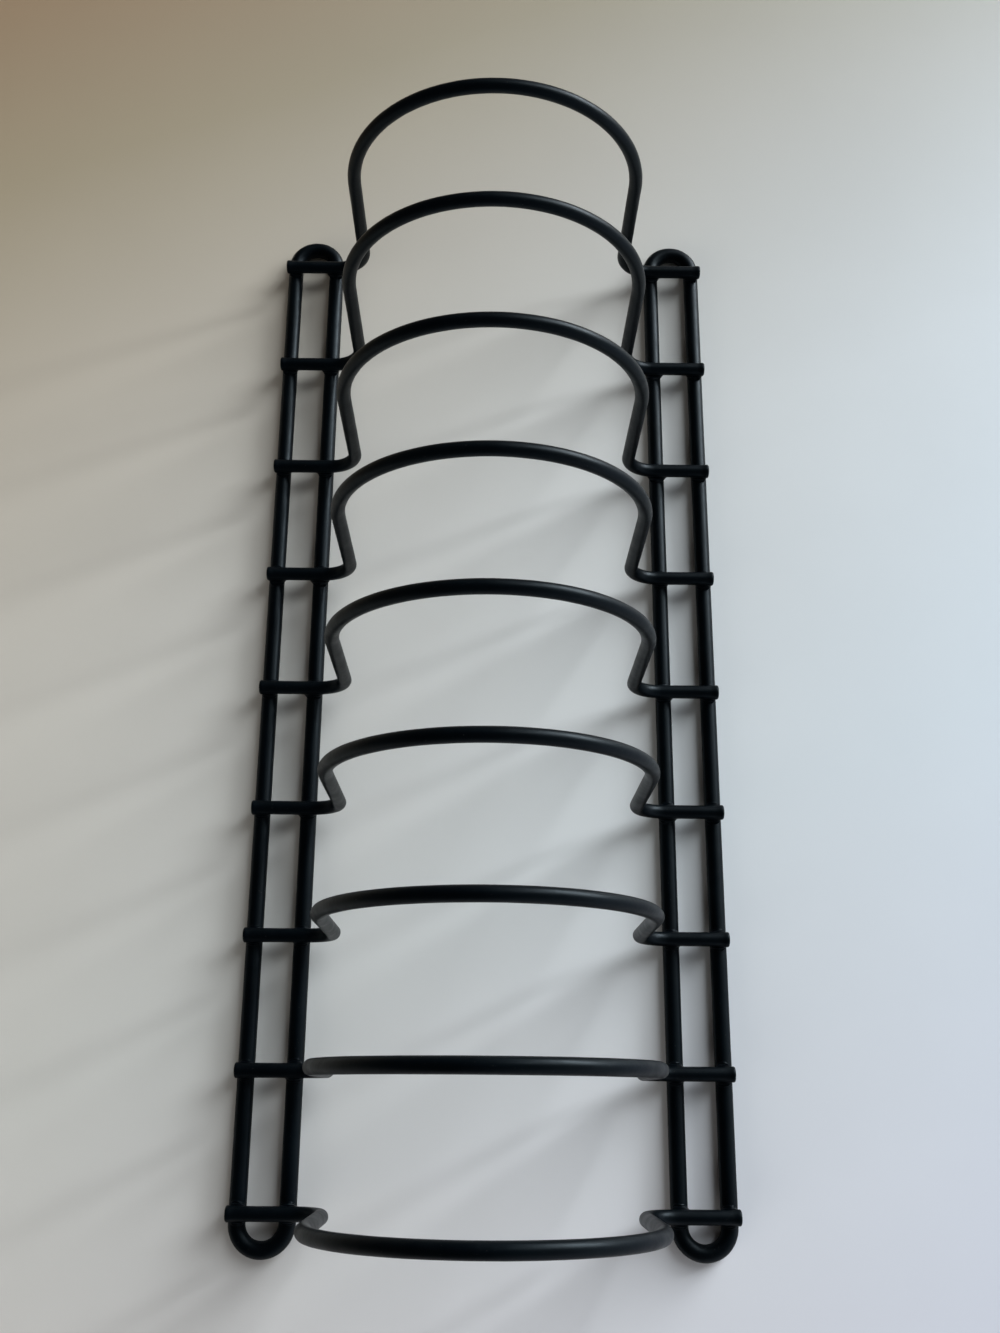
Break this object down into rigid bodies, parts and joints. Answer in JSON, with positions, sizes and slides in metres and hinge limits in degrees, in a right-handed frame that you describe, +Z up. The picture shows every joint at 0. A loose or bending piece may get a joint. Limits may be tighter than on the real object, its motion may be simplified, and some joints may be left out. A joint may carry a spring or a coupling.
{
  "type": "plate rack organizer",
  "caption": "Welded wire rack with a row of arched dividers on looped rails, for keeping plates, lids or pans on edge.",
  "frame": {"origin": "middle of the rack's footprint, on the surface that it stands on", "axes": "+X to the rack's right, +Y along the rails to the back, +Z up"},
  "size_m": [0.1882, 0.432, 0.1281],
  "materials": {
    "rail_coating": "satin black coating on round steel wire",
    "divider_coating": "satin black coating on round steel wire",
    "weld_coating": "satin black coating pooled over a weld"
  },
  "bodies": {
    "root": {"rail_left": "rail_coating", "rail_right": "rail_coating", "divider_1": "divider_coating", "divider_2": "divider_coating", "divider_3": "divider_coating", "divider_4": "divider_coating", "divider_5": "divider_coating", "divider_6": "divider_coating", "divider_7": "divider_coating", "divider_8": "divider_coating", "divider_9": "divider_coating", "weld_left_1": "weld_coating", "weld_left_2": "weld_coating", "weld_left_3": "weld_coating", "weld_left_4": "weld_coating", "weld_left_5": "weld_coating", "weld_left_6": "weld_coating", "weld_left_7": "weld_coating", "weld_left_8": "weld_coating", "weld_left_9": "weld_coating", "weld_right_1": "weld_coating", "weld_right_2": "weld_coating", "weld_right_3": "weld_coating", "weld_right_4": "weld_coating", "weld_right_5": "weld_coating", "weld_right_6": "weld_coating", "weld_right_7": "weld_coating", "weld_right_8": "weld_coating", "weld_right_9": "weld_coating"}
  },
  "joints": []
}
